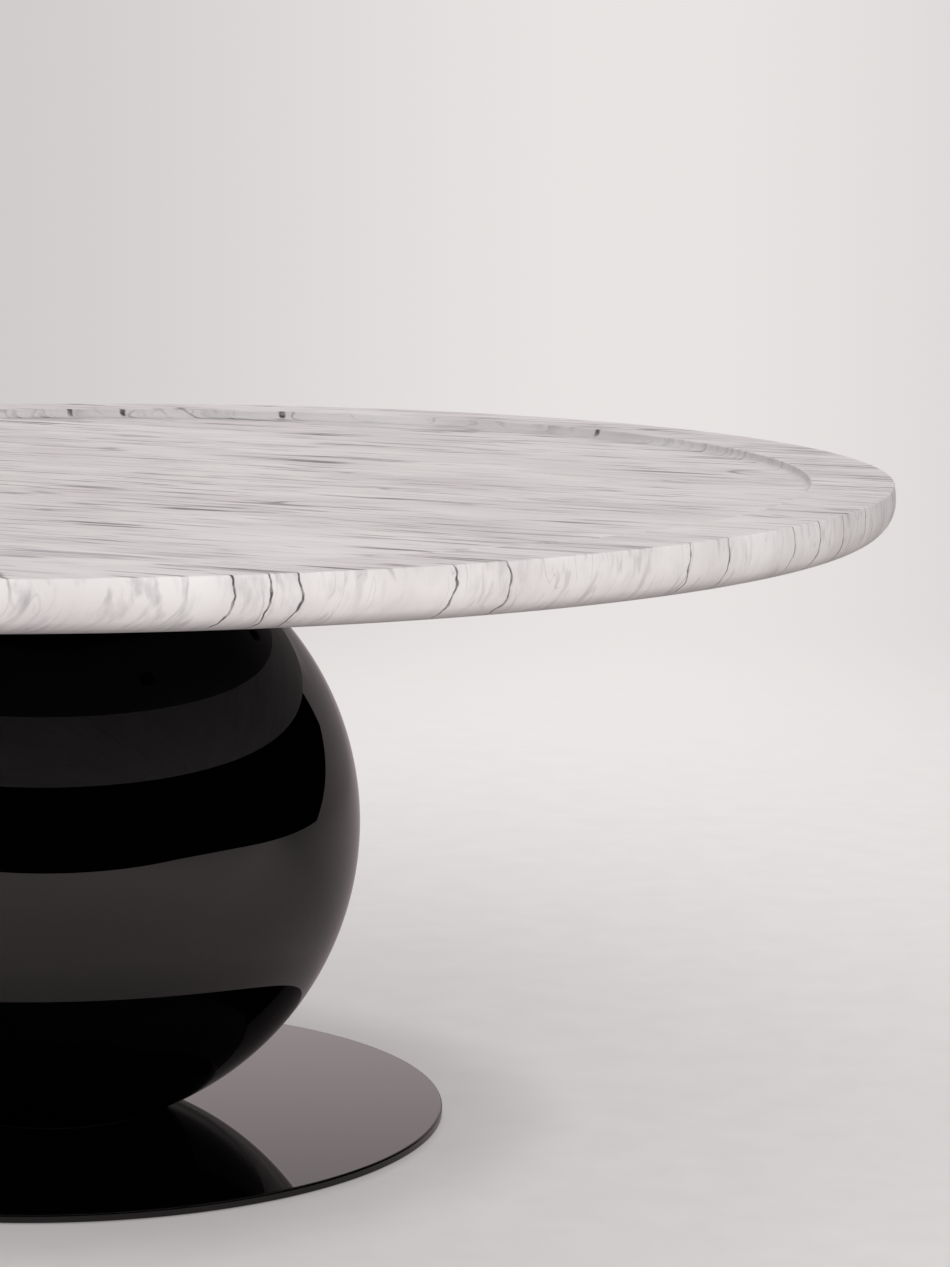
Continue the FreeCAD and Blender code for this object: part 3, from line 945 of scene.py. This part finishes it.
def paper_sweep(colours):
    """Matt pale paper with painted shade: takes the table's soft shadow, runs into the backdrop
    further off.
    """
    material, tree = new_material("pale_paper_matt")
    place = add(tree, "ShaderNodeNewGeometry").outputs["Position"]
    axes = add(tree, "ShaderNodeSeparateXYZ", {"Vector": place})
    x, y = axes.outputs["X"], axes.outputs["Y"]
    away = add(tree, "ShaderNodeVectorMath", [place], operation="LENGTH").outputs["Value"]
    rays = add(tree, "ShaderNodeLightPath")
    camera, glossy = rays.outputs["Is Camera Ray"], rays.outputs["Is Glossy Ray"]
    seen = add(tree, "ShaderNodeMath", [camera, glossy], operation="MAXIMUM").outputs[0]

    # Near the table a painted shade dims the paper towards the camera; far off it takes the
    # backdrop's tone
    near_level = add(tree, "ShaderNodeMapRange", [y, *NEAR_LEVEL]).outputs[0]
    far_level = backdrop_glow(tree, x, y, away, GLOW_START)
    level = add(tree, "ShaderNodeMapRange", [
        away, NEAR_END, FAR_START, near_level, far_level], **SMOOTH).outputs[0]
    # Painted shadow: what lies behind the table is dim to everything but the camera
    painted_shadow_behind = add(tree, "ShaderNodeMapRange", [y, *UNSEEN_PAINTED_SHADOW], **SMOOTH).outputs[0]
    unseen = add(tree, "ShaderNodeMath", [1.0, camera], operation="SUBTRACT").outputs[0]
    dim = add(tree, "ShaderNodeMath", [painted_shadow_behind, unseen, 1.0], operation="MULTIPLY_ADD").outputs[0]
    strength = add(tree, "ShaderNodeMath", [level, dim], operation="MULTIPLY").outputs[0]
    paper = add(tree, "ShaderNodeMix", {
        FACTOR: glossy, FIRST: rgba(colours.floor), SECOND: rgba(colours.floor_mirrored)},
        data_type="RGBA").outputs[MIXED]
    even = add(tree, "ShaderNodeEmission", {"Color": paper, "Strength": strength})

    fibres = add(tree, "ShaderNodeTexNoise", {
        "Vector": place, "Scale": 1 / FIBRE_CELL, "Detail": 3.0})
    tone = add(tree, "ShaderNodeMapRange", [fibres.outputs["Fac"], *FIBRE_TONE])
    # Painted shadow of the plate and the ball on the floor close by
    painted_close_shadow = add(tree, "ShaderNodeMapRange", [away, *CLOSE_PAINTED_SHADOW], **SMOOTH)
    shaded = add(tree, "ShaderNodeMath", [
        tone.outputs[0], painted_close_shadow.outputs[0]], operation="MULTIPLY").outputs[0]
    kept = add(tree, "ShaderNodeMapRange", [seen, 0.0, 1.0, BOUNCE_SHARE, 1.0]).outputs[0]
    held = add(tree, "ShaderNodeMath", [dim, kept], operation="MULTIPLY").outputs[0]
    shade = add(tree, "ShaderNodeMath", [shaded, held], operation="MULTIPLY").outputs[0]
    tint = add(tree, "ShaderNodeVectorMath", {0: paper, "Scale": shade}, operation="SCALE")
    lit = add(tree, "ShaderNodeBsdfDiffuse", {"Color": tint.outputs[0]})

    share = add(tree, "ShaderNodeMapRange", [away, *EVEN_SHARE], **SMOOTH).outputs[0]
    blend = add(tree, "ShaderNodeMath", [share, seen], operation="MULTIPLY").outputs[0]
    mixed = add(tree, "ShaderNodeMixShader", [blend, lit.outputs[0], even.outputs[0]])
    add(tree, "ShaderNodeOutputMaterial", {"Surface": mixed.outputs[0]})
    return material


def studio_world(colours):
    """Pale backdrop for the camera, a pale wall behind the table for mirrors, and a fill light."""
    world = bpy.data.worlds.new("studio")
    world.use_nodes = True
    tree = world.node_tree
    tree.nodes.clear()
    way = add(tree, "ShaderNodeTexCoord").outputs["Generated"]
    axes = add(tree, "ShaderNodeSeparateXYZ", {"Vector": way})
    x, y, z = axes.outputs["X"], axes.outputs["Y"], axes.outputs["Z"]
    glow = backdrop_glow(tree, x, y, 1.0, 0.0)
    backdrop = add(tree, "ShaderNodeBackground", {"Color": rgba(colours.floor), "Strength": glow})

    # The paper's side edges lean in where it curves up from the floor
    lean = add(tree, "ShaderNodeMapRange", [z, *WALL_LEAN]).outputs[0]
    beside = add(tree, "ShaderNodeMath", [x], operation="ABSOLUTE").outputs[0]
    edge = add(tree, "ShaderNodeMath", [beside, lean], operation="MULTIPLY").outputs[0]
    inside = add(tree, "ShaderNodeMath", [y, edge], operation="GREATER_THAN").outputs[0]
    # A pool of light on it, above the table's height and straight behind
    foot = add(tree, "ShaderNodeMapRange", [z, *POOL_FOOT]).outputs[0]
    head = add(tree, "ShaderNodeMapRange", [z, *POOL_HEAD]).outputs[0]
    sides = add(tree, "ShaderNodeMapRange", [beside, *POOL_SIDES]).outputs[0]
    pool = add(tree, "ShaderNodeMath", [foot, head], operation="MULTIPLY").outputs[0]
    bright = add(tree, "ShaderNodeMath", [
        pool, sides, WALL_LEVEL], operation="MULTIPLY_ADD").outputs[0]
    wall = add(tree, "ShaderNodeMath", [inside, bright], operation="MULTIPLY").outputs[0]
    mirrored = add(tree, "ShaderNodeBackground", {
        "Color": rgba(colours.floor_mirrored), "Strength": wall})

    across = add(tree, "ShaderNodeMapRange", [x, *FILL_ACROSS]).outputs[0]
    fill = add(tree, "ShaderNodeBackground", {"Color": (1, 1, 1, 1), "Strength": across})
    rays = add(tree, "ShaderNodeLightPath")
    unseen = add(tree, "ShaderNodeMixShader", [
        rays.outputs["Is Glossy Ray"], fill.outputs[0], mirrored.outputs[0]])
    studio = add(tree, "ShaderNodeMixShader", [
        rays.outputs["Is Camera Ray"], unseen.outputs[0], backdrop.outputs[0]])
    add(tree, "ShaderNodeOutputWorld", {"Surface": studio.outputs[0]})
    return world


class TABLE_OT_stage(bpy.types.Operator):
    """Set up the pale floor and backdrop, the soft lights and the camera"""

    bl_idname = "table.stage"
    bl_label = "Studio"

    def execute(self, context):
        scene = context.scene
        scene.view_settings.view_transform = "Standard"
        colours = scene.table_colours
        paper = paper_sweep(colours)
        floor_strip("floor", paper, paper_front, straight(FLOOR_REACH), -PAPER_SIDE, PAPER_SIDE)
        # Round the lit paper the studio's floor is dark, which only the mirrors show
        for name, far, left, right in (
            ("floor_front", paper_front, -PAPER_SIDE, PAPER_SIDE),
            ("floor_left", straight(FLOOR_REACH), -FLOOR_REACH, -PAPER_SIDE),
            ("floor_right", straight(FLOOR_REACH), PAPER_SIDE, FLOOR_REACH),
        ):
            strip = floor_strip(name, paper, straight(-FLOOR_REACH), far, left, right)
            strip.visible_glossy = False
        scene.world = studio_world(colours)

        for name, place, target, width, height, watts in SOFTBOXES:
            lamp = bpy.data.lights.new(name, "AREA")
            lamp.shape = "RECTANGLE"
            lamp.size, lamp.size_y = width, height
            lamp.energy = watts
            softbox = bpy.data.objects.new(name, lamp)
            softbox.location = place
            aim = Vector(target) - Vector(place)
            softbox.rotation_euler = aim.to_track_quat("-Z", "Y").to_euler()
            softbox.visible_glossy = False
            scene.collection.objects.link(softbox)

        lens = bpy.data.cameras.new("camera")
        lens.lens = CAMERA_LENS
        lens.shift_x = CAMERA_SHIFT
        camera = bpy.data.objects.new("camera", lens)
        camera.location = CAMERA_PLACE
        camera.rotation_euler = (math.pi / 2 - CAMERA_DOWN, 0, -CAMERA_RIGHT)
        scene.collection.objects.link(camera)
        scene.camera = camera
        return {"FINISHED"}


class TABLE_PT_pieces(bpy.types.Panel):
    """Lists the table's pieces and the studio"""

    bl_idname = "TABLE_PT_pieces"
    bl_label = "Cocktail table"
    bl_space_type = "VIEW_3D"
    bl_region_type = "UI"
    bl_category = "Table"

    def draw(self, context):
        for operator in OPERATORS:
            self.layout.operator(operator.bl_idname)


OPERATORS = (
    TABLE_OT_marble_top,
    TABLE_OT_ball,
    TABLE_OT_plates,
    TABLE_OT_rubber_sheets,
    TABLE_OT_fixings,
    TABLE_OT_inner_parts,
    TABLE_OT_stage,
)
CLASSES = (TableSizes, TableColours, *OPERATORS, TABLE_PT_pieces)


def register():
    for kind in CLASSES:
        bpy.utils.register_class(kind)
    bpy.types.Scene.table_sizes = PointerProperty(type=TableSizes)
    bpy.types.Scene.table_colours = PointerProperty(type=TableColours)


def unregister():
    del bpy.types.Scene.table_colours
    del bpy.types.Scene.table_sizes
    for kind in reversed(CLASSES):
        bpy.utils.unregister_class(kind)


def main():
    register()
    bpy.ops.table.marble_top()
    bpy.ops.table.ball()
    bpy.ops.table.plates()
    bpy.ops.table.rubber_sheets()
    bpy.ops.table.fixings()
    bpy.ops.table.inner_parts()
    bpy.ops.table.stage()


if __name__ == "__main__":
    main()
